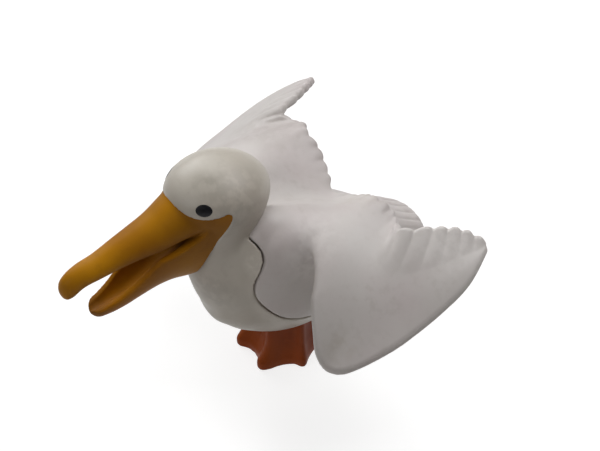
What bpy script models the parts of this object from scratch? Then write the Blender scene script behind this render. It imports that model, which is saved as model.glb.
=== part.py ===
"""A small moulded plastic pelican, standing with its wings half open and its bill agape.

The toy faces -Y, its left side is +X, and the floor is z = 0. The tables measure y from a
line between its two feet, and SETBACK moves each finished piece back, which puts the frame's
origin on the floor under the middle of the whole toy. Lengths in the tables are millimetres;
MM turns them into metres as each mesh is made. Each side piece is made on the left and
mirrored.
"""

import math

import bmesh
import bpy
import numpy as np
from mathutils import Matrix, Vector

# ---------------------------------------------------------------- driving dimensions (mm)

MM = 0.001
SETBACK = 10.35              # from the tables' y = 0 to the middle of the toy's length
GAP = 0.3                    # clear gap between any two pieces
ROUND_TRUNK = 26             # points around each section
ROUND_HEAD = 24
ROUND_BILL = 18

# Trunk: y, middle height, half width, height above the middle, depth below it.
TRUNK = (
    (-19.9, 18.8, 0.0, 0.0, 0.0),
    (-19.3, 18.8, 3.2, 3.6, 3.1),
    (-17.2, 18.8, 6.8, 7.7, 5.8),
    (-13.0, 18.8, 9.5, 11.0, 8.6),
    (-7.6, 18.8, 11.1, 12.7, 10.5),
    (-1.0, 19.0, 11.5, 13.2, 10.6),
    (5.0, 19.6, 10.9, 11.6, 9.2),
    (10.0, 19.6, 9.4, 8.8, 6.9),
    (15.0, 18.8, 7.8, 5.8, 4.4),
    (19.0, 18.2, 7.4, 3.6, 2.8),
    (23.0, 17.3, 7.5, 2.0, 1.6),
    (25.2, 16.6, 6.2, 1.3, 1.1),
    (26.0, 16.2, 0.0, 0.0, 0.0),
)
TRUNK_STEPS = 18

# Head and neck: height, middle y, half width, half length.
HEAD = (
    (47.3, -16.2, 0.0, 0.0),
    (46.9, -16.2, 2.7, 3.1),
    (45.6, -16.3, 5.4, 6.3),
    (43.6, -16.4, 7.3, 8.4),
    (41.2, -16.4, 8.0, 9.2),
    (38.0, -16.3, 7.7, 8.4),
    (35.0, -16.6, 7.0, 7.0),
    (32.0, -16.8, 6.6, 6.2),
    (29.5, -16.2, 7.0, 6.3),
    (26.0, -14.4, 8.3, 7.8),
    (22.0, -11.5, 9.4, 8.8),
    (18.0, -9.0, 8.0, 7.6),
)
HEAD_STEPS = 18

# Shoulder hump beside the neck: centre and radii.
SHOULDER_AT = (6.8, -5.5, 25.2)
SHOULDER_SIZE = (5.6, 10.5, 12.7)

# The trailing edge of the left wing, from the middle of the back out to the wing tip,
# one whole number for each feather: feather, x, y, z.
FEATHERS = 16
TRAILING = (
    (0.0, 0.6, 7.0, 30.3),
    (2.0, 4.3, 8.2, 32.2),
    (4.0, 8.2, 8.6, 34.7),
    (5.5, 11.2, 8.0, 36.9),
    (6.5, 13.0, 8.9, 36.3),
    (7.5, 14.6, 9.5, 35.1),
    (8.5, 16.3, 9.2, 34.7),
    (9.3, 17.9, 8.6, 35.0),
    (10.0, 19.1, 7.9, 35.5),
    (12.0, 21.6, 13.0, 35.0),
    (14.0, 24.1, 17.0, 34.6),
    (16.0, 27.3, 19.5, 32.8),
)
# The front and outer edge of the same wing, at the far end of the same feathers' lines.
LEADING = (
    (0.0, 4.0, -11.0, 33.0),
    (3.0, 8.0, -9.0, 33.6),
    (5.5, 12.6, -6.0, 32.3),
    (7.0, 16.5, -8.1, 31.7),
    (8.0, 19.6, -9.9, 29.0),
    (9.0, 22.8, -11.6, 25.2),
    (9.7, 25.6, -12.5, 21.3),
    (10.2, 27.8, -11.7, 19.5),
    (10.7, 29.8, -10.0, 19.9),
    (11.2, 31.1, -7.5, 21.0),
    (12.0, 32.4, -2.5, 23.1),
    (13.0, 32.8, 2.6, 25.0),
    (14.0, 32.5, 8.2, 27.6),
    (15.0, 31.5, 13.6, 30.2),
    (16.0, 28.6, 19.0, 32.6),
)
# Which way the feathers run at the trailing edge, and the surface at the leading edge.
FEATHER_RUN = (
    (0.0, 0.10, -0.98, 0.10),
    (5.5, 0.20, -0.95, 0.05),
    (8.0, 0.38, -0.90, -0.15),
    (10.0, 0.50, -0.78, -0.38),
    (12.0, 0.60, -0.65, -0.48),
    (16.0, 0.62, -0.52, -0.58),
)
EDGE_RUN = (
    (0.0, 0.00, 0.80, 0.60),
    (5.5, 0.00, 0.70, 0.72),
    (8.0, -0.15, 0.66, 0.74),
    (10.0, -0.50, 0.60, 0.62),
    (11.0, -0.76, 0.45, 0.46),
    (12.0, -0.84, 0.30, 0.45),
    (16.0, -0.86, 0.30, 0.42),
)
PER_FEATHER = 3              # mesh steps across one feather
WING_STEPS = (0.0, 0.10, 0.22, 0.36, 0.52, 0.70, 0.86, 0.96, 1.0)
WING_EDGE = 0.5              # half thickness at the trailing edge
WING_BODY = 1.15             # half thickness behind the leading edge
SCALLOP = 0.55               # how far a feather's end stands past the gaps beside it
RIDGE = 0.35                 # how far a feather's back stands over the grooves beside it
RIDGE_END = 0.45             # where the ridges fade out, as a share of the way forward

# The parting line between the front and the rear moulding, seen from the side: y, z.
SEAM = (
    (-15.8, 36.4),
    (-14.2, 34.2),
    (-13.1, 31.6),
    (-13.5, 29.4),
    (-14.5, 26.6),
    (-14.7, 24.1),
    (-13.6, 21.6),
    (-10.4, 18.2),
    (-6.2, 16.4),
    (0.0, 14.8),
    (8.0, 14.4),
)

# Bill, as seen from the side. Upper half: y, top, underside, half width.
BILL_UPPER = (
    (-17.0, 43.6, 36.0, 6.4),
    (-22.0, 44.2, 37.6, 6.0),
    (-25.3, 42.9, 37.5, 4.9),
    (-28.7, 40.9, 37.2, 4.2),
    (-32.2, 39.5, 36.6, 3.6),
    (-35.5, 38.3, 35.6, 3.1),
    (-39.2, 36.8, 34.2, 2.7),
    (-43.0, 36.0, 32.5, 2.3),
    (-45.0, 35.1, 30.8, 1.9),
    (-46.0, 34.0, 31.1, 1.3),
    (-46.5, 32.6, 32.6, 0.0),
)
BILL_UPPER_STEPS = 16
# Lower half: y, rim height, keel height, half width at the rim, depth of the trough.
BILL_LOWER = (
    (-17.0, 40.5, 27.6, 6.6, 0.0),
    (-20.5, 39.0, 26.8, 6.6, 0.0),
    (-23.5, 37.6, 26.5, 5.8, 2.6),
    (-26.5, 36.6, 26.9, 5.1, 4.8),
    (-29.5, 34.4, 26.7, 4.5, 4.2),
    (-32.5, 31.6, 25.9, 3.8, 3.0),
    (-36.2, 28.6, 24.8, 3.0, 1.7),
    (-38.8, 27.2, 24.4, 2.4, 1.0),
    (-40.8, 26.4, 24.7, 1.6, 0.5),
    (-41.6, 25.6, 25.6, 0.0, 0.0),
)
BILL_LOWER_STEPS = 16

# Where the ochre of the bill ends on the face and throat, seen from the side: y, z.
FACE_EDGE = (
    (-27.0, 54.0),
    (-26.3, 45.2),
    (-25.6, 43.2),
    (-24.3, 41.8),
    (-22.3, 41.3),
    (-20.1, 41.6),
    (-18.4, 42.2),
    (-17.9, 41.2),
    (-19.4, 37.5),
    (-21.4, 33.4),
    (-22.6, 28.4),
    (-22.5, 24.0),
)
# The line of the mouth, from the corner of the gape forward between the two halves: y, z.
MOUTH = (
    (-16.0, 43.0),
    (-18.1, 41.6),
    (-22.8, 38.0),
    (-28.0, 37.2),
    (-33.0, 36.4),
    (-37.8, 34.5),
    (-41.0, 33.2),
    (-43.2, 31.6),
    (-44.0, 28.0),
    (-60.0, 28.0),
)

# Feet: the outline of the left foot's sole, x, y, from the front notch round to the rear.
SOLE = (
    (-0.8, -9.6),
    (1.6, -10.0),
    (3.2, -11.1),
    (4.5, -10.9),
    (5.1, -9.3),
    (5.3, -7.2),
    (6.2, -5.1),
    (7.4, -4.4),
    (7.7, -3.5),
    (6.2, -1.8),
    (4.9, 0.2),
    (4.6, 2.2),
    (4.2, 3.2),
    (3.0, 3.2),
    (1.4, 1.8),
    (-0.8, 1.4),
)
WEB = 1.0                    # thickness of the feet at their edge
LEG_AT = (3.3, -2.6)
LEG_SIZE = (2.1, 2.7)
LEG_TOP = 10.0

# Eye: where its middle lies on the head, the way it faces, and its size.
EYE_AT = (5.6, -21.8, 43.2)
EYE_FACES = (0.74, -0.53, 0.42)
EYE_SIZE = (1.4, 1.15)
EYE_DEPTH = 0.7

# Cuts between named parts: a point on the cut and the way it faces.
HEAD_CUT = ((0.0, -16.0, 34.0), (0.0, -0.25, 1.0))
NECK_CUT = ((0.0, -15.0, 26.6), (0.0, -0.35, 1.0))
WING_CUT = ((12.9, 0.0, 28.0), (0.90, -0.05, 0.43))
TAIL_CUT = ((0.0, 15.0, 20.0), (0.0, 1.0, -0.25))

FAR = 80.0                   # larger than the toy: the reach of a cutting solid

COLOURS = {
    "ivory": (0.62, 0.59, 0.52),
    "white": (0.68, 0.65, 0.62),
    "ochre": (0.42, 0.20, 0.03),
    "orange": (0.38, 0.10, 0.02),
    "black": (0.01, 0.01, 0.012),
}


# ---------------------------------------------------------------- curves and meshes

def curve_at(rows, where):
    """The columns of a table at a value of its first column, on a smooth curve."""
    table = np.array(rows, float)
    keys = table[:, 0]
    rising = keys if keys[-1] > keys[0] else -keys
    at = where if keys[-1] > keys[0] else -where
    slopes = np.gradient(table[:, 1:], rising, axis=0)
    i = min(max(int(np.searchsorted(rising, at)) - 1, 0), len(keys) - 2)
    step = rising[i + 1] - rising[i]
    t = min(max((at - rising[i]) / step, 0.0), 1.0)
    here, there = table[i, 1:], table[i + 1, 1:]
    return (here * (2 * t**3 - 3 * t**2 + 1) + there * (3 * t**2 - 2 * t**3)
            + slopes[i] * step * (t**3 - 2 * t**2 + t) + slopes[i + 1] * step * (t**3 - t**2))


def rounded_steps(first, last, count):
    """Values from first to last that crowd towards both ends, where a form closes."""
    return [first + (last - first) * (1 - math.cos(math.pi * k / count)) / 2
            for k in range(count + 1)]


def smooth_line(points, per_span):
    """A smooth line through a few points of a plane."""
    rows = [(k, *point) for k, point in enumerate(points)]
    count = (len(points) - 1) * per_span
    return [tuple(curve_at(rows, k / per_span)) for k in range(count + 1)]


def solid(name, points, faces):
    """A closed mesh object from points in millimetres, its faces turned outwards."""
    mesh = bpy.data.meshes.new(name)
    mesh.from_pydata([Vector(point) * MM for point in points], [], faces)
    shape = bmesh.new()
    shape.from_mesh(mesh)
    bmesh.ops.remove_doubles(shape, verts=shape.verts, dist=0.00002)
    bmesh.ops.recalc_face_normals(shape, faces=shape.faces)
    if shape.calc_volume(signed=True) < 0:
        bmesh.ops.reverse_faces(shape, faces=shape.faces)
    shape.to_mesh(mesh)
    shape.free()
    piece = bpy.data.objects.new(name, mesh)
    bpy.context.collection.objects.link(piece)
    return piece


def loft(name, rings):
    """A skin over a row of rings, each end closed to a point at its own middle."""
    around = len(rings[0])
    points = [point for ring in rings for point in ring]
    faces = []
    for row in range(len(rings) - 1):
        for k in range(around):
            here, after = row * around + k, row * around + (k + 1) % around
            faces.append((here, after, after + around, here + around))
    for row in (0, len(rings) - 1):
        middle = len(points)
        points.append(tuple(np.mean(rings[row], axis=0)))
        for k in range(around):
            faces.append((row * around + k, row * around + (k + 1) % around, middle))
    return solid(name, points, faces)


def prism(name, outline, reach=FAR):
    """A side view outline (y, z) drawn right across the toy, along X."""
    count = len(outline)
    points = [(side * reach, y, z) for side in (-1, 1) for y, z in outline]
    faces = [tuple(range(count)), tuple(range(count, 2 * count))]
    faces += [(k, (k + 1) % count, count + (k + 1) % count, count + k) for k in range(count)]
    return solid(name, points, faces)


def beside(line, distance):
    """A line moved sideways by a distance, to the left of the way it runs."""
    points = np.array(line)
    run = np.gradient(points, axis=0)
    run /= np.linalg.norm(run, axis=1)[:, None]
    return [tuple(p) for p in points + distance * np.column_stack((-run[:, 1], run[:, 0]))]


def apply_boolean(piece, tool, operation):
    """Join, cut or keep the common part of two solids, and remove the tool."""
    change = piece.modifiers.new("change", "BOOLEAN")
    change.operation = operation
    change.solver = "EXACT"
    change.object = tool
    with bpy.context.temp_override(object=piece, active_object=piece):
        bpy.ops.object.modifier_apply(modifier=change.name)
    bpy.data.objects.remove(tool)
    return piece


def copy_of(piece, name, mirrored=False):
    """A copy with a mesh of its own, mirrored across the toy's middle if asked."""
    twin = bpy.data.objects.new(name, piece.data.copy())
    bpy.context.collection.objects.link(twin)
    if mirrored:
        twin.data.transform(Matrix.Scale(-1, 4, (1, 0, 0)))
        twin.data.flip_normals()
    return twin


def keep_past(piece, point, facing, distance):
    """Keep what lies further than a distance past a plane, and close the cut face."""
    facing = Vector(facing).normalized()
    shape = bmesh.new()
    shape.from_mesh(piece.data)
    cut = bmesh.ops.bisect_plane(
        shape, geom=shape.verts[:] + shape.edges[:] + shape.faces[:], dist=1e-7,
        plane_co=(Vector(point) + facing * distance) * MM, plane_no=facing, clear_inner=True)
    rim = [part for part in cut["geom_cut"] if isinstance(part, bmesh.types.BMEdge)]
    face = bmesh.ops.holes_fill(shape, edges=rim, sides=0)["faces"]
    bmesh.ops.triangulate(shape, faces=face)
    shape.to_mesh(piece.data)
    shape.free()


def part_off(piece, name, cut):
    """Take what lies past a cut off a piece, as a new piece, with the gap between them."""
    point, facing = cut
    taken = copy_of(piece, name)
    keep_past(taken, point, facing, GAP / 2)
    keep_past(piece, point, [-c for c in facing], GAP / 2)
    return taken


def finish(piece, name, colour, roughness):
    """Name a piece, set it back to its place, give it its plastic and shade it smooth."""
    piece.name = piece.data.name = name
    piece.data.transform(Matrix.Translation((0.0, SETBACK * MM, 0.0)))
    plastic = bpy.data.materials.new(name)
    plastic.use_nodes = True
    surface = plastic.node_tree.nodes["Principled BSDF"]
    surface.inputs["Base Color"].default_value = (*COLOURS[colour], 1.0)
    surface.inputs["Roughness"].default_value = roughness
    surface.inputs["Metallic"].default_value = 0.0
    piece.data.materials.clear()
    piece.data.materials.append(plastic)
    piece.data.shade_smooth()
    piece.data.set_sharp_from_angle(angle=math.radians(40))


# ---------------------------------------------------------------- the mouldings

def make_trunk(name, grow=0.0):
    """The egg of the body, drawn out behind into the flat tail."""
    rings = []
    for y in rounded_steps(TRUNK[0][0] - grow, TRUNK[-1][0] + grow, TRUNK_STEPS)[1:-1]:
        middle, half, above, below = curve_at(TRUNK, y)
        ring = []
        for k in range(ROUND_TRUNK):
            turn = math.tau * k / ROUND_TRUNK
            height = above if math.sin(turn) > 0 else below
            ring.append(((half + grow) * math.cos(turn), y,
                         middle + (height + grow) * math.sin(turn)))
        rings.append(ring)
    return loft(name, rings)


def make_head(name, grow=0.0):
    """The head on its neck, which runs down into the breast."""
    rings = []
    for z in rounded_steps(HEAD[0][0], HEAD[-1][0], HEAD_STEPS)[1:]:
        middle, half, length = curve_at(HEAD, z)
        rings.append([((half + grow) * math.cos(math.tau * k / ROUND_HEAD),
                       middle + (length + grow) * math.sin(math.tau * k / ROUND_HEAD), z)
                      for k in range(ROUND_HEAD)])
    return loft(name, rings)


def make_shoulders():
    """The hump beside the neck on each side, from which a wing spreads."""
    humps = []
    for side in (1, -1):
        x, y, z = SHOULDER_AT
        rings = []
        for lift in rounded_steps(-1.0, 1.0, 10)[1:-1]:
            reach = math.sqrt(1 - lift**2)
            rings.append([(side * x + SHOULDER_SIZE[0] * reach * math.cos(math.tau * k / 20),
                           y + SHOULDER_SIZE[1] * reach * math.sin(math.tau * k / 20),
                           z + SHOULDER_SIZE[2] * lift) for k in range(20)])
        humps.append(loft("shoulder", rings))
    return humps


def make_wing():
    """The left wing: a thin cupped shell between its two edges, ridged by its feathers."""
    count = FEATHERS * PER_FEATHER
    middle = np.zeros((count + 1, len(WING_STEPS), 3))
    for i in range(count + 1):
        feather = i / PER_FEATHER
        back, front = curve_at(TRAILING, feather), curve_at(LEADING, feather)
        run, rise = curve_at(FEATHER_RUN, feather), curve_at(EDGE_RUN, feather)
        run, rise = run / np.linalg.norm(run), rise / np.linalg.norm(rise)
        back = back - run * SCALLOP * abs(math.sin(math.pi * feather))
        reach = np.linalg.norm(front - back)
        for j, t in enumerate(WING_STEPS):
            middle[i, j] = (back * (1 - t)**3 + 3 * (back + run * reach * 0.38) * t * (1 - t)**2
                            + 3 * (front + rise * reach * 0.30) * t**2 * (1 - t) + front * t**3)
    across, along = np.gradient(middle, axis=0), np.gradient(middle, axis=1)
    up = np.cross(along, across)
    up /= np.linalg.norm(up, axis=2)[:, :, None]
    top, under = middle.copy(), middle.copy()
    for i in range(count + 1):
        feather = i / PER_FEATHER
        for j, t in enumerate(WING_STEPS):
            half = WING_EDGE + (WING_BODY - WING_EDGE) * min(t / 0.6, 1.0)
            if t > 0.8:
                half *= math.sqrt(max(1 - ((t - 0.8) / 0.205)**2, 0.0))
            ridge = RIDGE * abs(math.sin(math.pi * feather)) * max(1 - t / RIDGE_END, 0.0)
            top[i, j] += up[i, j] * (half + ridge)
            under[i, j] -= up[i, j] * half
    columns = len(WING_STEPS)
    points = [tuple(p) for grid in (top, under) for row in grid for p in row]
    lower = (count + 1) * columns
    faces = []
    for i in range(count):
        for j in range(columns - 1):
            corner = i * columns + j
            quad = (corner, corner + 1, corner + columns + 1, corner + columns)
            faces.append(quad)
            faces.append(tuple(lower + k for k in reversed(quad)))
    rim = [j for j in range(columns)]
    rim += [i * columns + columns - 1 for i in range(1, count + 1)]
    rim += [count * columns + j for j in range(columns - 2, -1, -1)]
    rim += [i * columns for i in range(count - 1, 0, -1)]
    for here, after in zip(rim, rim[1:] + rim[:1]):
        faces.append((here, after, lower + after, lower + here))
    return solid("wing", points, faces)


def make_bill_half(name, steps, table, ring_at):
    """One half of the bill, from the throat to its tip."""
    first, last = table[0][0], table[-1][0]
    stations = [first + (last - first) * math.sin(math.pi / 2 * k / steps) for k in range(steps)]
    return loft(name, [ring_at(y, *curve_at(table, y)) for y in stations])


def upper_ring(y, top, under, half):
    """An arched section with a nearly flat underside."""
    ring = []
    spring = under + 0.35 * (top - under)
    for k in range(ROUND_BILL):
        turn = math.tau * k / ROUND_BILL
        height = (top - spring) if math.sin(turn) > 0 else (spring - under)
        ring.append((half * math.cos(turn), y, spring + height * math.sin(turn)))
    return ring


def lower_ring(y, rim, keel, half, trough):
    """A deep pointed section with a trough along its top."""
    ring = []
    for k in range(ROUND_BILL // 2 + 1):
        turn = math.pi * k / (ROUND_BILL // 2)
        ring.append((half * math.cos(turn), y, rim - (rim - keel) * math.sin(turn)**0.8))
    for k in range(1, ROUND_BILL // 2):
        turn = math.pi * k / (ROUND_BILL // 2)
        inner = half - 0.9 * min(half / 2.4, 1.0)
        ring.append((-inner * math.cos(turn), y, rim - trough * math.sin(turn)))
    return ring


def make_foot():
    """The left webbed foot with its short leg, up to the belly."""
    corners = smooth_line(SOLE, 2)
    centre = np.array(LEG_AT)
    sections = ((0.0, 0.0, 0.06), (0.0, 0.25, 0.0), (0.0, WEB - 0.25, 0.0), (0.0, WEB, 0.06),
                (0.45, 1.9, 0.0), (0.85, 3.2, 0.0), (1.0, 4.6, 0.0), (1.0, LEG_TOP, 0.0))
    rings = []
    for toward_leg, z, inset in sections:
        ring = []
        for corner in corners:
            corner = np.array(corner)
            away = corner - centre
            turn = math.atan2(away[1], away[0])
            leg = centre + np.array(LEG_SIZE) * (math.cos(turn), math.sin(turn))
            x, y = corner * (1 - toward_leg) + leg * toward_leg
            x, y = np.array((x, y)) - away * inset * (1 - toward_leg) / 3
            ring.append((x, y, z))
        rings.append(ring)
    return loft("foot", rings)


def make_eye_plug(name, at_side, grow, depth):
    """A short oval plug, set along the way the eye faces."""
    x, y, z = EYE_AT
    facing = Vector((EYE_FACES[0] * at_side, EYE_FACES[1], EYE_FACES[2])).normalized()
    sideways = Vector((0, 0, 1)).cross(facing).normalized()
    upward = facing.cross(sideways)
    middle = Vector((x * at_side, y, z))
    rings = []
    for reach in (-depth, 3.0):
        rings.append([tuple(middle + facing * reach
                            + sideways * (EYE_SIZE[0] + grow) * math.cos(math.tau * k / 20)
                            + upward * (EYE_SIZE[1] + grow) * math.sin(math.tau * k / 20))
                      for k in range(20)])
    return loft(name, rings)


def main():
    for leftover in list(bpy.data.objects):
        bpy.data.objects.remove(leftover)

    # The seam's front side holds the head, neck, breast and belly; its rear side the back.
    seam = smooth_line(SEAM, 3)
    corner_front = [(8.0, -FAR), (-FAR, -FAR), (-FAR, FAR), (seam[0][0], FAR)]
    corner_rear = [(FAR, seam[-1][1]), (FAR, FAR), (seam[0][0], FAR)]
    front_side = prism("front_side", beside(seam, -GAP / 2) + [(FAR, seam[-1][1] - GAP / 2)]
                       + [(FAR, -FAR)] + corner_front[1:])
    rear_side = prism("rear_side", beside(seam, GAP / 2) + corner_rear)

    trunk = make_trunk("trunk")
    for hump in make_shoulders():
        apply_boolean(trunk, hump, "UNION")
    rear = copy_of(trunk, "rear")
    wing = make_wing()
    apply_boolean(rear, copy_of(wing, "other_wing", mirrored=True), "UNION")
    apply_boolean(rear, wing, "UNION")
    apply_boolean(rear, rear_side, "INTERSECT")
    apply_boolean(rear, make_head("neck_space", grow=GAP), "DIFFERENCE")

    breast = trunk
    apply_boolean(breast, front_side, "INTERSECT")
    apply_boolean(breast, make_head("head"), "UNION")

    # The bill fills the face in front of the line where its colour ends.
    upper = make_bill_half("upper", BILL_UPPER_STEPS, BILL_UPPER, upper_ring)
    lower = make_bill_half("lower", BILL_LOWER_STEPS, BILL_LOWER, lower_ring)
    face = smooth_line(FACE_EDGE, 3)
    mouth = smooth_line(MOUTH, 3)
    ahead = [(face[-1][0], -FAR), (-FAR, -FAR), (-FAR, FAR), (face[0][0], FAR)]
    for half, side in ((upper, 1), (lower, -1)):
        apply_boolean(half, copy_of(breast, "face"), "UNION")
        apply_boolean(half, prism("ochre", beside(face, -GAP / 2) + ahead), "INTERSECT")
        far = [(-FAR, side * FAR), (FAR, side * FAR), (FAR, mouth[0][1])]
        line = beside(mouth, -side * GAP / 2)
        apply_boolean(half, prism("half", line + [(-FAR, line[-1][1])] + far), "INTERSECT")
    apply_boolean(breast, prism("ochre", beside(face, GAP / 2) + ahead), "DIFFERENCE")

    # Eyes: an oval plug in a pocket on each side of the head.
    for side, name in ((1, "eye_left"), (-1, "eye_right")):
        eye = make_eye_plug(name, side, 0.0, EYE_DEPTH)
        apply_boolean(eye, copy_of(breast, "head_form"), "INTERSECT")
        apply_boolean(breast, make_eye_plug("pocket", side, GAP, EYE_DEPTH + GAP), "DIFFERENCE")
        finish(eye, name, "black", 0.3)

    head = part_off(breast, "head", HEAD_CUT)
    neck = part_off(breast, "neck", NECK_CUT)

    # Feet: one on each side of the middle, their legs ending under the belly.
    foot = make_foot()
    apply_boolean(foot, make_trunk("belly_space", grow=GAP), "DIFFERENCE")
    keep_past(foot, (0, 0, 0), (1, 0, 0), GAP / 2)
    other_foot = copy_of(foot, "leg_right", mirrored=True)

    # The rear moulding, parted into tail, wings and back.
    left = part_off(rear, "wing_left", WING_CUT)
    mirrored_cut = tuple((-x, y, z) for x, y, z in WING_CUT)
    right = part_off(rear, "wing_right", mirrored_cut)
    tail = part_off(rear, "tail", TAIL_CUT)

    for piece, name, colour, roughness in (
            (head, "head", "ivory", 0.42), (neck, "neck", "ivory", 0.42),
            (breast, "breast", "ivory", 0.42), (rear, "back", "white", 0.45),
            (tail, "tail", "white", 0.45), (left, "wing_left", "white", 0.45),
            (right, "wing_right", "white", 0.45), (upper, "bill_upper", "ochre", 0.38),
            (lower, "bill_lower", "ochre", 0.38), (foot, "leg_left", "orange", 0.42),
            (other_foot, "leg_right", "orange", 0.42)):
        finish(piece, name, colour, roughness)


main()
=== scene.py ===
"""The looks of a small moulded plastic pelican: four mouldings and two printed eyes.

The front moulding (head, neck and breast) and the rear moulding (back, tail and wings) meet
along a curved parting line on the flank. The ochre bill and the orange feet are mouldings of
their own. Tables are in millimetres, with y measured from the line between the two feet, and
BACK carries them to the frame, whose origin is under the middle of the toy.
"""

import math

import bmesh
import bpy
import numpy as np
from mathutils import Matrix, Vector


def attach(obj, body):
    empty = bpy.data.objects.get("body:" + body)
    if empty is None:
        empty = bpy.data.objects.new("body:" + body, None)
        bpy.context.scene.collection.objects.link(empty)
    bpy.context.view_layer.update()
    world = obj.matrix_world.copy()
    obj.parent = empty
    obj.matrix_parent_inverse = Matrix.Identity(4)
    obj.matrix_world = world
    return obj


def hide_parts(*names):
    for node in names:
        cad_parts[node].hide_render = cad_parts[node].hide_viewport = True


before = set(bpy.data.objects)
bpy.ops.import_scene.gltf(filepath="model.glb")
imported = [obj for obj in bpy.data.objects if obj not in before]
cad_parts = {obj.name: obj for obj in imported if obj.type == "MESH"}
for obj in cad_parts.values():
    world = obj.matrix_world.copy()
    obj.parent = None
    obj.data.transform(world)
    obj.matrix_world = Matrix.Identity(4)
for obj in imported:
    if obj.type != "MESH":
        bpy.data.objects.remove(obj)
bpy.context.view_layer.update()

MM = 0.001
BACK = 10.35                 # from the feet's middle line to the middle of the toy's length
PARTING = 0.26               # width of the seam between the front and the rear moulding
FAR = 80.0                   # past the toy's end on every side

# ------------------------------------------------------------------ the toy's own lines (mm)

# Trunk: y, middle height, half width, height above the middle, depth below it.
TRUNK = (
    (-19.9, 18.8, 0.0, 0.0, 0.0), (-19.3, 18.8, 3.2, 3.6, 3.1), (-17.2, 18.8, 6.8, 7.7, 5.8),
    (-13.0, 18.8, 9.5, 11.0, 8.6), (-7.6, 18.8, 11.1, 12.7, 10.5),
    (-1.0, 19.0, 11.5, 13.2, 10.6), (5.0, 19.6, 10.9, 11.6, 9.2), (10.0, 19.6, 9.4, 8.8, 6.9),
    (15.0, 19.1, 7.8, 5.8, 4.4), (19.0, 18.9, 7.4, 3.6, 2.8), (22.0, 18.6, 6.4, 2.2, 1.8),
    (23.7, 18.3, 4.8, 1.7, 1.4), (24.5, 18.2, 3.0, 1.2, 1.0), (24.8, 18.1, 0.0, 0.0, 0.0),
)
# Head and neck: height, middle y, half width, half length.
HEAD = (
    (11.0, -7.0, 6.6, 7.0), (14.5, -8.6, 8.6, 9.2), (18.0, -9.9, 9.4, 10.2),
    (22.0, -12.0, 9.5, 9.4), (26.0, -14.4, 8.5, 7.9), (29.5, -16.2, 7.1, 6.3),
    (32.0, -16.8, 6.6, 6.2), (35.0, -16.6, 7.0, 7.0), (38.0, -16.3, 7.7, 8.4),
    (41.2, -16.4, 8.3, 9.4), (43.6, -16.4, 7.9, 8.8), (45.4, -16.4, 6.4, 7.1),
    (46.7, -16.3, 4.4, 4.9), (47.5, -16.2, 2.3, 2.5), (47.8, -16.1, 0.0, 0.0),
)
# Humps of the left shoulder: middle, radii.
SHOULDER = (
    ((6.8, -5.3, 24.7), (6.4, 10.5, 12.7)), ((5.3, -9.2, 29.5), (5.2, 7.0, 8.2)),
    ((8.6, -3.2, 30.0), (5.2, 8.5, 7.0)), ((9.6, -5.2, 29.6), (3.7, 8.0, 7.1)),
    ((6.3, 2.0, 27.0), (5.6, 6.6, 5.6)),
)

# Where the left wing grows from its shoulder, and the reach and rounds of its softening.
ROOTS = ((13.5, -5.0, 31.0), (11.5, 1.0, 32.5), (9.5, -1.5, 35.5))
ROOTS_REACH, ROOTS_ROUNDS = 8.5, 650

# Where the two wings meet along the middle of the back, with the same.
BACK_MIDDLE = ((0.0, -8.0, 34.5), (0.0, -5.0, 34.3), (0.0, -1.5, 34.0), (0.0, 2.0, 33.0),
               (0.0, 4.5, 32.2))
MIDDLE_REACH, MIDDLE_ROUNDS = 4.3, 350

# The left wing's trailing edge, from the middle of the back to the tip: feather, x, y, z.
TRAILING = (
    (0.0, -1.2, 6.6, 30.6), (2.0, 3.9, 8.0, 32.0), (4.0, 8.2, 8.6, 34.7),
    (5.5, 11.2, 8.0, 36.9), (6.5, 13.0, 8.9, 36.3), (7.5, 14.6, 9.5, 35.1),
    (8.5, 16.3, 9.2, 34.7), (9.3, 17.9, 8.6, 35.0), (10.0, 19.1, 7.9, 35.5),
    (12.0, 22.0, 12.8, 35.4), (14.0, 24.5, 16.8, 35.1), (16.0, 27.5, 19.7, 33.5),
)
# Its leading edge, at the far end of the same feathers' lines.
LEADING = (
    (0.0, -1.0, -9.0, 31.8), (3.0, 7.0, -8.5, 32.6), (5.5, 12.6, -6.0, 32.3),
    (7.0, 16.5, -8.1, 31.7), (8.0, 19.6, -9.9, 29.0), (9.0, 22.8, -11.6, 25.2),
    (9.7, 25.6, -12.5, 21.3), (10.2, 27.8, -11.7, 19.5), (10.6, 29.8, -10.0, 19.7),
    (11.0, 30.9, -7.2, 20.6), (11.5, 32.1, -2.2, 22.6), (12.2, 32.4, 2.8, 24.6),
    (13.2, 32.3, 8.4, 27.1), (14.5, 31.4, 13.9, 29.6), (16.0, 28.7, 19.3, 32.9),
)
# The way the surface runs at each of those edges, forward from the trailing edge.
FEATHER_RUN = (
    (0.0, 0.10, -0.98, 0.10), (5.5, 0.20, -0.95, 0.05), (8.0, 0.38, -0.90, -0.15),
    (10.0, 0.50, -0.78, -0.38), (12.0, 0.60, -0.65, -0.48), (16.0, 0.62, -0.52, -0.58),
)
EDGE_RUN = (
    (0.0, 0.00, 0.80, 0.60), (5.5, 0.00, 0.70, 0.72), (8.0, 0.00, 0.62, 0.78),
    (10.0, -0.34, 0.55, 0.76), (10.8, -0.54, 0.46, 0.70), (11.6, -0.60, 0.40, 0.68),
    (13.2, -0.46, 0.42, 0.78), (16.0, -0.30, 0.42, 0.86),
)
FEATHERS = 16
ACROSS, ALONG = 12, 72       # mesh steps across a feather and along it
# How far, by feather, its end stands past the gaps beside it, its back over the grooves.
SCALLOP = ((0.0, 0.28), (6.0, 0.48), (9.0, 0.50), (11.0, 0.62), (16.0, 0.62))
RIDGE = ((0.0, 0.18), (5.0, 0.34), (9.0, 0.44), (11.0, 0.62), (16.0, 0.56))
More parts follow.
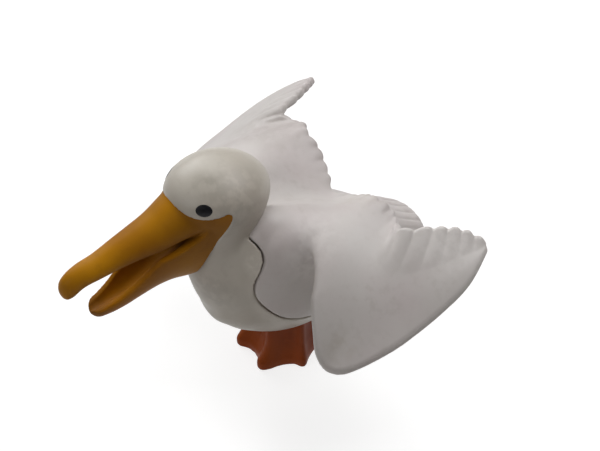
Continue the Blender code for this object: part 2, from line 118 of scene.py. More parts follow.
# By feather: the wing's half thickness ahead, and the share of its way that a ridge runs.
WING_HALF = ((0, 9, 12, 16), (1.1, 1.1, 0.85, 0.7))
RIDGE_RUN = ((0, 9, 11, 16), (0.26, 0.28, 0.36, 0.44))
END_HALF = 0.5               # half thickness at the trailing edge
END_ROUND, LEAD_ROUND = 0.6, 1.5             # the wing rounds off this near its two edges
END_PULL, LEAD_PULL = 0.38, 0.32             # how stiffly the slab leaves its two edges
PLUMP_SCALLOP, PLUMP_RIDGE = 0.6, 0.55       # powers: lower is rounder, with a tighter groove
RIDGE_FADE, FOLD_FADE = 0.9, 0.7             # powers of the ridges' and the ironing's fading
FOLD = 1.2                   # feathers over which the folds are ironed out

# Grooves of the tail: spacing, width as a share of it, depth; and where the tail lies.
GROOVE_STEP, GROOVE_WIDTH, GROOVE_DEPTH = 2.1, 0.16, 0.20
TAIL_START, TAIL_FADE, TAIL_HALF = 15.0, 4.0, 7.2
TAIL_MIDDLE, TAIL_TOP = 18.4, 22.5

# The parting line on the flank, seen from the side: y, z.
SEAM = ((-15.0, 35.3), (-14.2, 34.6), (-13.2, 33.3), (-12.9, 31.6), (-13.5, 29.4), (-14.5, 26.6),
        (-14.7, 24.1), (-13.6, 21.6), (-10.4, 18.2), (-6.2, 16.4), (0.0, 14.8), (8.0, 14.4))
# Its hidden run from far above down between the neck and the shoulder.
BEHIND_NECK = ((0.0, 60.0), (-6.0, 39.6), (-10.5, 38.3), (-12.9, 36.6))
NECK_BITE = 0.5              # the rear reaches this far into the neck, so no gap shows

# Bill, upper half: y, top, underside, half width.
BILL_UPPER = (
    (-46.5, 32.6, 32.6, 0.0), (-46.0, 34.0, 31.1, 1.3), (-45.0, 35.1, 30.8, 1.9),
    (-43.0, 36.0, 32.3, 2.3), (-39.2, 36.8, 33.4, 2.7), (-35.5, 38.3, 34.2, 3.1),
    (-32.2, 39.5, 34.7, 3.6), (-28.7, 40.9, 35.0, 4.2), (-25.3, 42.9, 36.0, 4.9),
    (-22.0, 44.2, 37.0, 6.0), (-17.0, 43.6, 36.0, 6.4),
)
# Lower half: y, rim height, keel height, half width at the rim, depth of the trough.
BILL_LOWER = (
    (-41.6, 25.6, 25.6, 0.0, 0.0), (-40.8, 26.4, 24.7, 1.6, 0.4), (-38.8, 27.2, 24.4, 2.4, 0.8),
    (-36.2, 28.6, 24.8, 3.0, 1.3), (-32.5, 31.6, 25.9, 3.8, 2.1), (-29.5, 34.4, 26.7, 4.5, 2.8),
    (-26.5, 36.6, 26.9, 5.1, 3.0), (-23.5, 38.2, 26.5, 5.8, 1.6), (-20.5, 40.8, 26.8, 6.6, 0.0),
    (-17.0, 44.0, 27.6, 6.6, 0.0),
)
# Where the ochre ends on the face and throat, and the line of the mouth: y, z.
FACE_EDGE = ((-27.0, 54.0), (-26.3, 45.2), (-25.6, 43.2), (-24.3, 42.0), (-22.3, 41.6),
             (-20.1, 41.9), (-18.4, 42.3), (-17.9, 41.2), (-19.4, 37.5), (-21.4, 33.4),
             (-22.6, 28.4), (-22.5, 24.0))
MOUTH = ((-16.0, 43.0), (-18.1, 41.6), (-22.8, 37.6), (-28.0, 34.9), (-33.0, 34.4),
         (-37.8, 33.3), (-41.0, 32.6), (-43.2, 31.6), (-44.0, 28.0), (-60.0, 28.0))

# The left foot's outline, x, y, from the front notch round to the rear.
SOLE = ((-0.8, -9.6), (1.6, -10.0), (3.2, -11.1), (4.5, -10.9), (5.1, -9.3), (5.3, -7.2),
        (6.2, -5.1), (7.4, -4.4), (7.7, -3.5), (6.2, -1.8), (4.9, 0.2), (4.6, 2.2),
        (4.2, 3.2), (3.0, 3.2), (1.4, 1.8), (-0.8, 1.4))
LEG = (3.3, -2.6)                                      # middle of the leg
# The way up from the sole: rise, size of the outline as a share of the one below.
FOOT_STEPS = ((1.5, 1.0), (0.8, 0.93), (1.2, 0.92), (1.6, 0.93), (2.4, 0.97), (3.0, 1.0))

EYE_AT = (5.6, -21.8, 43.2)
EYE_FACES = (0.74, -0.53, 0.42)
EYE_SIZE = (1.4, 1.05)
EYE_LIFT, EYE_PLUG, EYE_PROUD = 0.5, 1.6, 0.04  # of its plug's middle, its depth, of its print

FACE_INSET = 0.16            # the ochre of the face lies this far under the head's form
LIP_TUCK = 0.5               # and runs this far on under the ivory's edge
# How far the two halves keep from the mouth's line, by distance ahead of the feet's line.
MOUTH_GAP = ((20.5, 23.0), (-0.5, 0.1))
RIM_FRONT = 25.6             # height of the lower bill's tip

# Even skins: spacing of the mesh, rounds of smoothing.
TORSO_SKIN, FIGURE_SKIN, REAR_SKIN = (0.3, 60), (0.3, 70), (0.22, 4)
FACE_SKIN, FRONT_SKIN, BILL_SKIN = (0.3, 14), (0.24, 6), (0.2, 9)
FOOT_SKIN, FEET_SKIN = (0.2, 8), (0.2, 3)
REAR_KEPT = 0.52             # share of the rear moulding's triangles that is kept


def curve_at(rows, where):
    """The columns of a table at a value of its first column, on a smooth curve."""
    table = np.array(rows, float)
    keys = table[:, 0]
    slopes = np.gradient(table[:, 1:], keys, axis=0)
    i = min(max(int(np.searchsorted(keys, where)) - 1, 0), len(keys) - 2)
    step = keys[i + 1] - keys[i]
    t = min(max((where - keys[i]) / step, 0.0), 1.0)
    here, there = table[i, 1:], table[i + 1, 1:]
    return (here * (2 * t**3 - 3 * t**2 + 1) + there * (3 * t**2 - 2 * t**3)
            + slopes[i] * step * (t**3 - 2 * t**2 + t) + slopes[i + 1] * step * (t**3 - t**2))


def smooth_line(points, per_span=6):
    """A smooth line through a few points of a plane."""
    rows = [(k, *point) for k, point in enumerate(points)]
    count = (len(points) - 1) * per_span
    return [tuple(curve_at(rows, k / per_span)) for k in range(count + 1)]


def beside(line, distance):
    """A line moved sideways, to the left of the way it runs, by one or by each point's distance."""
    points = np.array(line)
    run = np.gradient(points, axis=0)
    run /= np.linalg.norm(run, axis=1)[:, None]
    left = np.column_stack((-run[:, 1], run[:, 0]))
    return [tuple(point) for point in points + np.reshape(distance, (-1, 1)) * left]


# ------------------------------------------------------------------ working as by hand

def pick(*pieces):
    """Select some pieces only, the last one active."""
    if bpy.context.object and bpy.context.object.mode != "OBJECT":
        bpy.ops.object.mode_set(mode="OBJECT")
    bpy.ops.object.select_all(action="DESELECT")
    for piece in pieces:
        piece.select_set(True)
    bpy.context.view_layer.objects.active = pieces[-1]


def new_piece(name):
    """Name the primitive that has just been added, with its place in its mesh."""
    piece = bpy.context.object
    piece.name = piece.data.name = name
    bpy.ops.object.transform_apply(location=True, rotation=True, scale=True)
    return piece


def change(piece, kind, **settings):
    """Add a modifier and apply it."""
    pick(piece)
    modifier = piece.modifiers.new(kind.title(), kind)
    for key, value in settings.items():
        setattr(modifier, key, value)
    bpy.ops.object.modifier_apply(modifier=modifier.name)
    return piece


def cut(piece, form, operation="DIFFERENCE"):
    """Join, cut or keep the common part of a closed piece and a form, which is used up."""
    change(piece, "BOOLEAN", operation=operation, solver="MANIFOLD", object=form)
    bpy.data.objects.remove(form)
    return piece


def twin(piece, name, mirrored=False):
    """A copy with its own mesh, mirrored across the toy's middle if asked."""
    pick(piece)
    bpy.ops.object.duplicate()
    copy = bpy.context.object
    copy.name = copy.data.name = name
    if mirrored:
        bpy.ops.object.mode_set(mode="EDIT")
        bpy.ops.mesh.select_all(action="SELECT")
        bpy.ops.transform.resize(value=(-1, 1, 1), center_override=(0, 0, 0))
        bpy.ops.mesh.flip_normals()
        bpy.ops.object.mode_set(mode="OBJECT")
    return copy


def grow(piece, distance):
    """Move a form's surface outwards by a distance, or inwards by a negative one."""
    return change(piece, "DISPLACE", strength=distance * MM, mid_level=0.0)


def fuse(name, pieces, voxel, rounds):
    """Join closed pieces into one, give it one even skin and smooth it."""
    piece = pieces[0]
    for other in pieces[1:]:
        cut(piece, other, "UNION")
    piece.name = piece.data.name = name
    change(piece, "REMESH", mode="VOXEL", voxel_size=voxel * MM, use_smooth_shade=True)
    return change(piece, "SMOOTH", factor=0.5, iterations=rounds)


def soften(piece, middles, reach, rounds):
    """Smooth a piece only around some places, fading out at a distance from them."""
    group = piece.vertex_groups.new(name="soft")
    places = [Vector((x, y + BACK, z)) * MM for x, y, z in middles]
    for vertex in piece.data.vertices:
        away = min((vertex.co - place).length for place in places) / (reach * MM)
        if away < 1:
            group.add([vertex.index], min(2 * (1 - away), 1.0), "REPLACE")
    change(piece, "SMOOTH", factor=0.5, iterations=rounds, vertex_group=group.name)
    piece.vertex_groups.clear()


def shape_rings(name, table, axis, section, segments=64, rings=52):
    """A ball whose rings are each resized and moved to their own section of a table.

    section gives a ring's middle (x, y, z), its half size across x, and its reach along the
    remaining axis past the middle and short of it, all in millimetres.
    """
    first, last = table[0][0], table[-1][0]
    other = 3 - axis
    bpy.ops.mesh.primitive_uv_sphere_add(segments=segments, ring_count=rings, radius=1.0,
                                         rotation=(math.pi / 2, 0, 0) if axis == 1 else (0, 0, 0))
    piece = new_piece(name)
    bpy.ops.object.mode_set(mode="EDIT")
    shape = bmesh.from_edit_mesh(piece.data)
    order = {v: round(rings * math.acos(max(-1.0, min(1.0, -v.co[axis]))) / math.pi)
             for v in shape.verts}
    for ring in range(rings + 1):
        where = first + (last - first) * (1 - math.cos(math.pi * ring / rings)) / 2
        middle, across, beyond, before = section(where, *curve_at(table, where))
        own = [v for v in shape.verts if order[v] == ring]
        level = sum(v.co[axis] for v in own) / len(own)
        radius = max(math.sin(math.pi * ring / rings), 1e-6)
        far_side = {v for v in own if v.co[other] > 0}
        for part, reach in ((far_side, beyond), (set(own) - far_side, before)):
            size = [across / radius * MM, 1.0, 1.0]
            size[other] = reach / radius * MM
            select_only(piece, part)
            if 0 < ring < rings:
                bpy.ops.transform.resize(value=size, center_override=(0, 0, 0),
                                         constraint_axis=(True, other == 1, other == 2))
        place = Vector(middle) * MM + Vector((0, BACK * MM, 0))
        place[axis] -= level
        select_only(piece, own)
        bpy.ops.transform.translate(value=place)
    bpy.ops.object.mode_set(mode="OBJECT")
    return piece


def select_only(piece, chosen):
    """Select some vertices only of the mesh in edit mode."""
    shape = bmesh.from_edit_mesh(piece.data)
    bpy.ops.mesh.select_all(action="DESELECT")
    for vertex in chosen:
        vertex.select = True
    shape.select_flush_mode()
    bmesh.update_edit_mesh(piece.data)


def prism(name, outline):
    """A side view outline drawn right across the toy, from a disc whose rim is reshaped."""
    bpy.ops.mesh.primitive_circle_add(vertices=len(outline), radius=1.0, fill_type="NGON")
    piece = new_piece(name)
    for vertex, (y, z) in zip(piece.data.vertices, outline):
        vertex.co = (-FAR * MM, (y + BACK) * MM, z * MM)
    bpy.ops.object.mode_set(mode="EDIT")
    bpy.ops.mesh.select_all(action="SELECT")
    bpy.ops.mesh.extrude_region_move(TRANSFORM_OT_translate={"value": (2 * FAR * MM, 0, 0)})
    bpy.ops.mesh.select_all(action="SELECT")
    bpy.ops.mesh.normals_make_consistent(inside=False)
    bpy.ops.object.mode_set(mode="OBJECT")
    return piece


# ------------------------------------------------------------------ the forms

def trunk_section(y, middle, half, above, below):
    return (0, y, middle), half, above, below


def head_section(z, middle, half, length):
    return (0, middle, z), half, length, length


def body_forms():
    """The egg of the body, and the humps of both its shoulders."""
    trunk = shape_rings("trunk", TRUNK, 1, trunk_section)
    humps = []
    for side, ((x, y, z), radii) in ((s, hump) for s in (1, -1) for hump in SHOULDER):
        bpy.ops.mesh.primitive_uv_sphere_add(
            segments=64, ring_count=48, radius=1.0,
            location=(side * x * MM, (y + BACK) * MM, z * MM), scale=[r * MM for r in radii])
        humps.append(new_piece("hump"))
    return trunk, humps


def iron(sheet, steps):
    """Iron the folds out of a sheet of points across its feathers, leaving its edges."""
    width = int(2 * FOLD * ACROSS)
    weights = np.exp(-0.5 * (np.arange(-width, width + 1) / (FOLD * ACROSS))**2)
    weights /= weights.sum()
    ends = (2 * sheet[:1] - sheet[width:0:-1], 2 * sheet[-1:] - sheet[-2:-width - 2:-1])
    longer = np.concatenate((ends[0], sheet, ends[1]))
    even = sum(w * longer[k:k + len(sheet)] for k, w in enumerate(weights))
    share = np.sin(math.pi * np.clip(steps, 0, 1))[None, :, None]**FOLD_FADE
    return sheet + share * (even - sheet)


def wing_place(feather, t):
    """Where a line of the left wing's slab goes, from the trailing to the leading edge."""
    back, front = curve_at(TRAILING, feather), curve_at(LEADING, feather)
    run, rise = curve_at(FEATHER_RUN, feather), curve_at(EDGE_RUN, feather)
    run, rise = run / np.linalg.norm(run), rise / np.linalg.norm(rise)
    plump = abs(math.sin(math.pi * feather))**PLUMP_SCALLOP
    back = back - run * curve_at(SCALLOP, feather)[0] * plump
    reach = np.linalg.norm(front - back)
    t = t[:, None]
    return (back * (1 - t)**3 + 3 * (back + run * reach * END_PULL) * t * (1 - t)**2
            + 3 * (front + rise * reach * LEAD_PULL) * t**2 * (1 - t) + front * t**3)


def make_wing():
    """The left wing: a thin slab bent between its two edges, ridged by its feathers."""
    bpy.ops.mesh.primitive_grid_add(x_subdivisions=FEATHERS * ACROSS, y_subdivisions=ALONG,
                                    size=1.0)
    piece = new_piece("wing")
    bpy.ops.object.mode_set(mode="EDIT")
    bpy.ops.mesh.select_all(action="SELECT")
    bpy.ops.mesh.extrude_region_move(TRANSFORM_OT_translate={"value": (0, 0, 1)})
    bpy.ops.object.mode_set(mode="OBJECT")
    slab = np.empty(len(piece.data.vertices) * 3)
    piece.data.vertices.foreach_get("co", slab)
    slab = slab.reshape(-1, 3)
    column = np.rint((slab[:, 0] + 0.5) * FEATHERS * ACROSS).astype(int)
    row = np.rint((slab[:, 1] + 0.5) * ALONG).astype(int)
    steps = np.linspace(0, 1, ALONG + 1)
    steps = steps - 0.06 * np.sin(2 * math.pi * steps)
    feathers = np.arange(FEATHERS * ACROSS + 1) / ACROSS
    middle = iron(np.array([wing_place(feather, steps) for feather in feathers]), steps)
    up = np.cross(np.gradient(middle, axis=1), np.gradient(middle, axis=0))
    up /= np.linalg.norm(up, axis=2)[:, :, None]
    half = END_HALF + ((np.interp(feathers, *WING_HALF)[:, None] - END_HALF)
                       * np.minimum(steps / 0.6, 1.0))
    for edge, rounding, least in ((middle[:, -1:], LEAD_ROUND, 0.0),
                                  (middle[:, :1], END_ROUND, 0.04)):
        inside = np.maximum(rounding - np.linalg.norm(middle - edge, axis=2), 0) / rounding
        half *= np.sqrt(np.maximum(1 - inside**2, least))
    high = np.array([curve_at(RIDGE, feather)[0] for feather in feathers])[:, None]
    plump = np.abs(np.sin(math.pi * feathers))[:, None]**PLUMP_RIDGE
    run = np.interp(feathers, *RIDGE_RUN)[:, None]
    ridge = high * plump * np.clip(1 - steps / run, 0, 1)**RIDGE_FADE
    rise = np.where(slab[:, 2] > 0.5, (half + ridge)[column, row], -half[column, row])
    places = (middle[column, row] + up[column, row] * rise[:, None] + (0, BACK, 0)) * MM
    piece.data.vertices.foreach_set("co", places.ravel())
    pick(piece)
    bpy.ops.object.mode_set(mode="EDIT")
    bpy.ops.mesh.select_all(action="SELECT")
    bpy.ops.mesh.normals_make_consistent(inside=False)
    bpy.ops.object.mode_set(mode="OBJECT")
    return piece


def upper_section(y, top, under, half):
    spring = under + 0.35 * (top - under)
    return (0, y, spring), half, top - spring, spring - under


def lower_section(y, rim, keel, half, trough):
    return (0, y, rim), half, 2.5 * min(half / 4, 1.0), rim - keel


def trough_section(y, rim, keel, half, trough):
    inner = half - 1.25 * min(half / 2.4, 1.0)
    above = 0.05 + 4 * min(max((-y - 21.0) / 3, 0.0), 1.0)
    return (0, y, rim), max(inner, 0.05), above, max(trough, 0.02)


# ------------------------------------------------------------------ the front and the rear

def past_seam(name, distance):
    """All that lies behind the parting line, seen from the side, from a distance past it."""
    seam = list(BEHIND_NECK) + smooth_line(SEAM)
    return prism(name, beside(seam, distance) + [(FAR, seam[-1][1] + distance), (FAR, FAR)])


def groove_tail(piece):
    """Press the feathers' grooves into the tail, above and below."""
    places = np.empty(len(piece.data.vertices) * 3)
    piece.data.vertices.foreach_get("co", places)
    places = places.reshape(-1, 3)
    x, y, z = places.T / MM - np.array([[0], [BACK], [0]])
    on_tail = np.clip((y - TAIL_START) / TAIL_FADE, 0, 1) * np.clip(TAIL_TOP - z, 0, 1)
    from_groove = np.abs((x / GROOVE_STEP) % 1.0 - 0.5) / GROOVE_WIDTH
    grooves = np.exp(-from_groove**2) * np.clip(TAIL_HALF - np.abs(x), 0, 1)
    places[:, 2] -= GROOVE_DEPTH * MM * grooves * on_tail * np.sign(z - TAIL_MIDDLE)
    piece.data.vertices.foreach_set("co", places.ravel())


trunk, humps = body_forms()
head = shape_rings("head", HEAD, 2, head_section)
torso = fuse("torso", [twin(trunk, "trunk_form")] + [twin(hump, "hump_form") for hump in humps],
             *TORSO_SKIN)
figure = fuse("figure", [trunk, *humps, twin(head, "head_form")], *FIGURE_SKIN)

behind = cut(past_seam("behind", -PARTING / 2), twin(head, "neck_form"))
front = cut(twin(figure, "front"), behind)

rear = cut(torso, past_seam("rear_side", PARTING / 2), "INTERSECT")
cut(rear, grow(twin(head, "neck_space"), -NECK_BITE))
wing = make_wing()
rear = fuse("rear_moulding", [rear, twin(wing, "other_wing", mirrored=True), wing], *REAR_SKIN)
soften(rear, [(side * x, y, z) for side in (1, -1) for x, y, z in ROOTS],
       ROOTS_REACH, ROOTS_ROUNDS)
soften(rear, BACK_MIDDLE, MIDDLE_REACH, MIDDLE_ROUNDS)
groove_tail(rear)
change(rear, "DECIMATE", ratio=REAR_KEPT)

# ------------------------------------------------------------------ the bill and the eyes

face = smooth_line(FACE_EDGE)
mouth = smooth_line(MOUTH)
AHEAD = [(face[-1][0], -FAR), (-FAR, -FAR), (-FAR, FAR), (face[0][0], FAR)]


def bill_half(half, side):
    """A half of the bill with its own ochre of the face: side is 1 above and -1 below."""
    half = fuse("half", [half, grow(twin(figure, "face_form"), -FACE_INSET)], *FACE_SKIN)
    if side < 0:
        rim = smooth_line([(y, z) for y, z, *_ in BILL_LOWER])
        cut(half, prism("above_rim", rim + [(0, FAR), (-FAR, FAR), (-FAR, RIM_FRONT)]))
        cut(half, shape_rings("trough", BILL_LOWER, 1, trough_section))
    cut(half, prism("ochre", beside(face, LIP_TUCK) + AHEAD), "INTERSECT")
    line = beside(mouth, [-side * np.interp(-y, *MOUTH_GAP) for y, z in mouth])
    far = [(-FAR, side * FAR), (FAR, side * FAR), (FAR, mouth[0][1])]
    return cut(half, prism("side", line + [(-FAR, line[-1][1])] + far), "INTERSECT")


def eye_form(name, side):
    """An oval plug set in the side of the head, kept only just proud of its skin."""
    x, y, z = EYE_AT
    facing = Vector((EYE_FACES[0] * side, EYE_FACES[1], EYE_FACES[2])).normalized()
    sideways = Vector((0, 0, 1)).cross(facing).normalized()
    turn = Matrix((sideways, facing.cross(sideways), facing)).transposed().to_4x4()
    middle = Vector((x * side, y + BACK, z)) * MM + facing * EYE_LIFT * MM
    size = (EYE_SIZE[0] * MM, EYE_SIZE[1] * MM, EYE_PLUG * MM, 1)
    bpy.ops.mesh.primitive_cylinder_add(vertices=64, radius=1.0, depth=1.0)
    bpy.context.object.matrix_world = Matrix.Translation(middle) @ turn @ Matrix.Diagonal(size)
    plug = cut(new_piece(name), grow(twin(figure, "skin"), EYE_PROUD), "INTERSECT")
    plug.data.shade_smooth()
    return plug


halves = [bill_half(shape_rings("upper", BILL_UPPER, 1, upper_section), 1),
          bill_half(shape_rings("lower", BILL_LOWER, 1, lower_section), -1)]
cut(front, prism("ochre", face + AHEAD))
front = fuse("front_moulding", [front], *FRONT_SKIN)
bill = fuse("bill_moulding", halves, *BILL_SKIN)
eyes = [eye_form("eye_left_print", 1), eye_form("eye_right_print", -1)]
for form in (head, figure):
    bpy.data.objects.remove(form)

# ------------------------------------------------------------------ the feet

def foot_form():
    """The left foot: its outline drawn up in steps to a short leg under the belly."""
    outline = smooth_line(SOLE, 6)
    bpy.ops.mesh.primitive_circle_add(vertices=len(outline), radius=1.0, fill_type="NGON")
    piece = new_piece("foot")
    for vertex, (x, y) in zip(piece.data.vertices, outline):
        vertex.co = (x * MM, (y + BACK) * MM, 0)
    middle = (LEG[0] * MM, (LEG[1] + BACK) * MM, 0)
    bpy.ops.object.mode_set(mode="EDIT")
    bpy.ops.mesh.select_all(action="SELECT")
    for up, share in FOOT_STEPS:
        bpy.ops.mesh.extrude_region_move(TRANSFORM_OT_translate={"value": (0, 0, up * MM)})
        bpy.ops.transform.resize(value=(share, share, 1), center_override=middle)
    bpy.ops.mesh.select_all(action="SELECT")
    bpy.ops.mesh.normals_make_consistent(inside=False)
    bpy.ops.object.mode_set(mode="OBJECT")
    return piece


foot = fuse("foot", [foot_form()], *FOOT_SKIN)
feet = fuse("feet_moulding", [foot, twin(foot, "other_foot", mirrored=True)], *FEET_SKIN)

# ------------------------------------------------------------------ the finishes

# Sizes in the plastics, in millimetres: clouds of dye, mottling, reach of the painted shade
# in a hollow, specks' spacing, and the grain's size and height.
CLOUDS, MOTTLE, HOLLOW, SPECKS_APART, GRAIN, GRAIN_HIGH = 16.0, 1.3, 1.6, 3.2, 0.35, 0.03
SPECK = (0.10, 0.075, 0.055)


class Socket:
    """One output of a finish's nodes, so that shader sums read as plain arithmetic."""

    def __init__(self, tree, output):
        self.tree, self.output = tree, output

    def node(self, kind, settings=None, values=None, out=0):
        """Add a node: its settings first, then the values or links of its sockets."""
        made = self.tree.nodes.new(kind)
        for key, setting in (settings or {}).items():
            setattr(made, key, setting)
        for key, value in (values or {}).items():
            if isinstance(value, Socket):
                self.tree.links.new(value.output, made.inputs[key])
            else:
                made.inputs[key].default_value = value
        return Socket(self.tree, made.outputs[out])

    def sum(self, operation, first, second):
        return self.node("ShaderNodeMath", {"operation": operation}, {0: first, 1: second})

    def __add__(self, other):
        return self.sum("ADD", self, other)

    def __radd__(self, other):
        return self.sum("ADD", other, self)

    def __sub__(self, other):
        return self.sum("SUBTRACT", self, other)

    def __rsub__(self, other):
        return self.sum("SUBTRACT", other, self)

    def __mul__(self, other):
        return self.sum("MULTIPLY", self, other)

    def __rmul__(self, other):
        return self.sum("MULTIPLY", other, self)

    def rising(self, low, high):
        """0 below low, 1 above high and a smooth step between them."""
        return self.node("ShaderNodeMapRange", {"interpolation_type": "SMOOTHSTEP"},
                         {"Value": self, "From Min": low, "From Max": high})

    def noise(self, size, detail=3.0):
        """Cloudy noise on a place, with patches of about a size in millimetres."""
        return self.node("ShaderNodeTexNoise", None,
                         {"Vector": self, "Scale": 1 / (size * MM), "Detail": detail})

    def near(self, middle, reach):
        """1 at a point of the toy, given in its own millimetres, and 0 at a reach from it."""
        x, y, z = middle
        away = self.node("ShaderNodeVectorMath", {"operation": "DISTANCE"},
                         {0: self, 1: (x * MM, (y + BACK) * MM, z * MM)}, "Value")
        return 1 - away.rising(0.2 * reach * MM, reach * MM)

    def tint(self, colour, other):
        """A colour turning into another as this mask goes from 0 to 1."""
        ends = [end if isinstance(end, Socket) else (*end, 1.0) for end in (colour, other)]
        return self.node("ShaderNodeMix", {"data_type": "RGBA"},
                         {"Factor": self, 6: ends[0], 7: ends[1]}, 2)

    def into(self, shader, name):
        self.tree.links.new(self.output, shader.inputs[name])


def blank_finish(name):
    """A new finish: the material, places on the piece, and its shader."""
    finish = bpy.data.materials.new(name)
    finish.use_nodes = True
    places = finish.node_tree.nodes.new("ShaderNodeTexCoord").outputs["Object"]
    return finish, Socket(finish.node_tree, places), finish.node_tree.nodes["Principled BSDF"]


def moulded_plastic(name, clean, drift, dirt_and_shade, gloss, stains_and_painted_light=(), specks=0.0, shine=0.5,
                    patchy=0.65):
    """Dyed plastic from a mould: cloudy dye, handling marks, painted shade in its hollows, grain.

    The patches are places with a reach, a strength and a colour of their own, some real stains
    and some painted light and shade; patchy says how broken they are.
    """
    finish, place, shader = blank_finish(name)
    colour = place.noise(CLOUDS).rising(0.35, 0.65).tint(clean, drift)
    mottle = place.noise(MOTTLE, 5.0).rising(0.46, 0.72) * (
        0.3 + place.noise(7.0).rising(0.4, 0.7))
    colour = (0.10 * mottle).tint(colour, dirt_and_shade)
    # Painted shade: the colour darkens in hollows and grooves found by ambient occlusion, with a
    # little handling wear from noise added.
    hollow_shade = 1 - place.node("ShaderNodeAmbientOcclusion", {"samples": 8, "only_local": True},
                            {"Distance": HOLLOW * MM}, "AO")
    rubbed = place.noise(5.0, 6.0).rising(0.52, 0.74)
    shade_and_wear = hollow_shade.rising(0.30, 0.80) * (0.45 + 0.4 * place.noise(2.2)) + 0.06 * rubbed
    colour = shade_and_wear.tint(colour, dirt_and_shade)
    rough_patches = shade_and_wear
    broken = 1 - patchy + patchy * place.noise(1.6, 5.0).rising(0.38, 0.60)
    # Patches of colour: real stains, and painted light and shade where a patch stands in for how
    # the light falls.
    for middle, reach, strength, patch_tone in stains_and_painted_light:
        patch = place.near(middle, reach) * broken
        colour = (strength * patch).tint(colour, patch_tone)
        rough_patches = rough_patches + 0.5 * strength * patch
    if specks:
        cells = place.node("ShaderNodeTexVoronoi", None,
                           {"Vector": place, "Scale": 1 / (SPECKS_APART * MM)})
        chosen = cells.node("ShaderNodeSeparateColor", None, {
            "Color": Socket(cells.tree, cells.output.node.outputs["Color"])})
        spot = (1 - cells.rising(0.035, 0.06)) * chosen.rising(1 - specks, 1 - specks + 0.01)
        colour = (0.7 * spot).tint(colour, SPECK)
    colour.into(shader, "Base Color")
    (gloss + 0.10 * place.noise(3.0, 5.0) + 0.22 * rough_patches).into(shader, "Roughness")
    grain = place.noise(GRAIN, 4.0) + 0.8 * place.noise(1.7, 2.0)
    bump = grain.node("ShaderNodeBump", None,
                      {"Strength": 0.22, "Distance": GRAIN_HIGH * MM, "Height": grain})
    bump.into(shader, "Normal")
    shader.inputs["Specular IOR Level"].default_value = shine
    return finish


def eye_print():
    """A glossy black print with a faint blue cast, a little uneven in tone."""
    finish, place, shader = blank_finish("black_print")
    place.noise(0.5).rising(0.35, 0.7).tint((.004, .004, .006), (.012, .012, .016)).into(
        shader, "Base Color")
    (0.26 + 0.16 * place.noise(0.4, 4.0)).into(shader, "Roughness")
    shader.inputs["Specular IOR Level"].default_value = 0.25
    return finish


# Each plastic's patches of stain and of painted light and shade: where, reach, strength, colour.
IVORY_STAINS_AND_PAINTED_LIGHT = (
    ((6.0, -15.0, 45.0), 6.5, 0.30, (.25, .215, .18)),
    ((3.8, -20.0, 46.0), 4.5, 0.42, (.33, .30, .25)),
    # Painted light: a pale patch on the near flank by the parting line, where the neck's edge turns
    # to the light.
    ((9.6, -14.0, 30.5), 3.6, 0.60, (.82, .78, .70)),
    # A darker patch on the head's side by the eye.
    ((7.4, -18.5, 42.0), 5.5, 0.45, (.33, .30, .26)),
    # Painted shade: the throat under the lower bill, and the breast towards its bottom, darkened.
    ((4.0, -20.5, 24.0), 6.5, 0.45, (.34, .31, .27)),
    ((5.0, -16.0, 14.0), 9.0, 0.25, (.36, .31, .24)),
)
PEARL_STAINS_AND_PAINTED_LIGHT = (
    ((25.5, -8.0, 22.0), 5.0, 0.40, (.32, .26, .18)),
    ((8.5, 7.5, 35.0), 7.0, 0.22, (.45, .40, .31)),
    # Painted shade: the far wing's inner face darkened.
    ((-16.0, 2.0, 34.0), 11.0, 0.40, (.47, .43, .40)),
    # Painted light: pale patches on both shoulders, the near wing's primaries and the tail.
    ((12.0, -4.5, 31.5), 8.0, 0.60, (.86, .82, .80)),
    ((-12.0, -4.5, 31.5), 8.0, 0.40, (.86, .82, .80)),
    ((24.0, 14.5, 34.0), 9.5, 0.50, (.80, .76, .74)),
    ((0.0, 23.0, 19.0), 7.0, 0.40, (.80, .76, .74)),
)
OCHRE_HOOK_AND_PAINTED_SHADE = (
    # A darker hook tip.
    ((0.0, -44.0, 34.0), 4.0, 0.20, (.28, .10, .008)),
    # Painted shade: the bill's sides at its base and midway, and the lower bill's tip, darkened.
    ((6.4, -23.5, 39.0), 8.5, 0.55, (.16, .060, .004)),
    ((-6.4, -23.5, 39.0), 8.5, 0.55, (.16, .060, .004)),
    ((4.8, -31.5, 36.0), 8.0, 0.60, (.20, .070, .004)),
    ((-4.8, -31.5, 36.0), 8.0, 0.60, (.20, .070, .004)),
    ((0.0, -41.5, 25.0), 5.5, 0.80, (.22, .085, .010)),
)
# Painted shade: the top of the feet darkened where the belly shades it.
ORANGE_PAINTED_SHADE = (((3.0, -4.0, 6.0), 5.0, 0.5, (.14, .022, .004)),)

IVORY = moulded_plastic("ivory_plastic", (.555, .518, .455), (.55, .50, .435), (.20, .155, .11),
                        0.36, IVORY_STAINS_AND_PAINTED_LIGHT, specks=0.03)
PEARL = moulded_plastic("pearl_plastic", (.62, .585, .565), (.61, .555, .545), (.22, .17, .125),
                        0.38, PEARL_STAINS_AND_PAINTED_LIGHT, specks=0.05)
OCHRE = moulded_plastic("ochre_plastic", (.49, .208, .004), (.44, .168, .003), (.10, .028, .004),
                        0.42, OCHRE_HOOK_AND_PAINTED_SHADE, shine=0.09, patchy=0.12)
ORANGE = moulded_plastic("orange_plastic", (.36, .070, .006), (.30, .048, .005),
                         (.05, .010, .004), 0.42, ORANGE_PAINTED_SHADE, shine=0.1)
BLACK = eye_print()

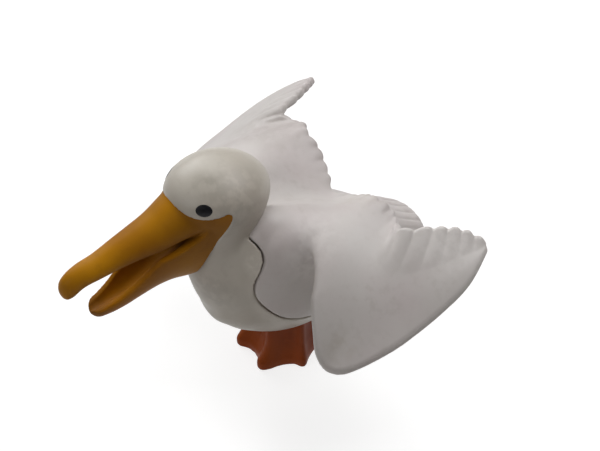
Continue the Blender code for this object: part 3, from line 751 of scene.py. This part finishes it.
for piece, finish, slot, nodes in (
        (front, IVORY, "head", ("head", "neck", "breast")),
        (rear, PEARL, "back", ("back", "tail", "wing_left", "wing_right")),
        (bill, OCHRE, "bill_upper", ("bill_upper", "bill_lower")),
        (feet, ORANGE, "leg_left", ("leg_left", "leg_right")),
        (eyes[0], BLACK, "eye_left", ("eye_left",)),
        (eyes[1], BLACK, "eye_right", ("eye_right",))):
    piece.data.materials.clear()
    piece.data.materials.append(finish)
    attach(piece, "root")
    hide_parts(*nodes)

# ------------------------------------------------------------------ stage

# Soft lamps: degrees round from the front, degrees up, distance, size (m), watts.
SOFTBOXES = ((270, 32, 0.60, 0.34, 1.50), (230, 62, 0.60, 0.34, 0.80), (10, 32, 0.60, 0.34, 0.65),
             (155, 62, 0.24, 0.12, 0.24))
MIDDLE = Vector((0, BACK, 26.4)) * MM
LAMPS_AROUND = Vector((0, 0, 0.026))
VIEW = (58.5, 40, 0.3325)    # the camera: degrees round, degrees up, distance (m)
PAPER, PAPER_GLOW = ((.35, .35, .35), (.36, .36, .36)), 0.80
GLOW_BELOW, GLOW_ABOVE = 0.22, 0.06          # of the studio round the toy
WARM_WALLS = (1.0, 0.93, 0.85)


def way_to(around, up):
    """The direction from the toy that many degrees round from its front and up."""
    a, e = math.radians(around), math.radians(up)
    return Vector((math.sin(a) * math.cos(e), -math.cos(a) * math.cos(e), math.sin(e)))


def lay_paper():
    """A pale paper floor, lit a little from inside so that it stays even."""
    bpy.ops.mesh.primitive_plane_add(size=4.0)
    floor = new_piece("floor")
    paper, place, surface = blank_finish("paper")
    place.noise(30.0).tint(*PAPER).into(surface, "Base Color")
    surface.inputs["Roughness"].default_value = 0.8
    surface.inputs["Emission Color"].default_value = (1, 1, 1, 1)
    surface.inputs["Emission Strength"].default_value = PAPER_GLOW
    floor.data.materials.append(paper)
    floor.visible_diffuse = False


def set_camera():
    around, up, distance = VIEW
    way = way_to(around, up)
    bpy.ops.object.camera_add(location=MIDDLE + way * distance)
    camera = bpy.context.object
    camera.rotation_euler = way.to_track_quat("Z", "Y").to_euler()
    camera.data.lens = 113.4
    camera.data.sensor_width = 36
    camera.data.clip_start = 0.01
    bpy.context.scene.camera = camera


def light_studio():
    """Warm dim walls, a white backdrop and the soft lamps."""
    world = bpy.data.worlds.new("studio")
    bpy.context.scene.world = world
    world.use_nodes = True
    tree = world.node_tree
    way = Socket(tree, tree.nodes.new("ShaderNodeTexCoord").outputs["Generated"])
    height = way.node("ShaderNodeSeparateXYZ", None, {0: way}, "Z")
    glow = height.node("ShaderNodeMapRange", {"interpolation_type": "SMOOTHSTEP"},
                       {"Value": height, "From Min": -0.25, "From Max": 0.25,
                        "To Min": GLOW_BELOW, "To Max": GLOW_ABOVE})
    seen = way.node("ShaderNodeLightPath", out="Is Camera Ray")
    sky = tree.nodes["Background"]
    seen.node("ShaderNodeMix", None, {0: seen, 2: glow, 3: 1.0}).into(sky, "Strength")
    seen.tint(WARM_WALLS, (1, 1, 1)).into(sky, "Color")
    for around, up, distance, size, power in SOFTBOXES:
        way = way_to(around, up)
        bpy.ops.object.light_add(type="AREA", location=way * distance + LAMPS_AROUND)
        lamp = bpy.context.object
        lamp.data.size = size
        lamp.data.energy = power
        lamp.rotation_euler = way.to_track_quat("Z", "Y").to_euler()


lay_paper()
set_camera()
light_studio()
bpy.context.scene.view_settings.view_transform = "Standard"
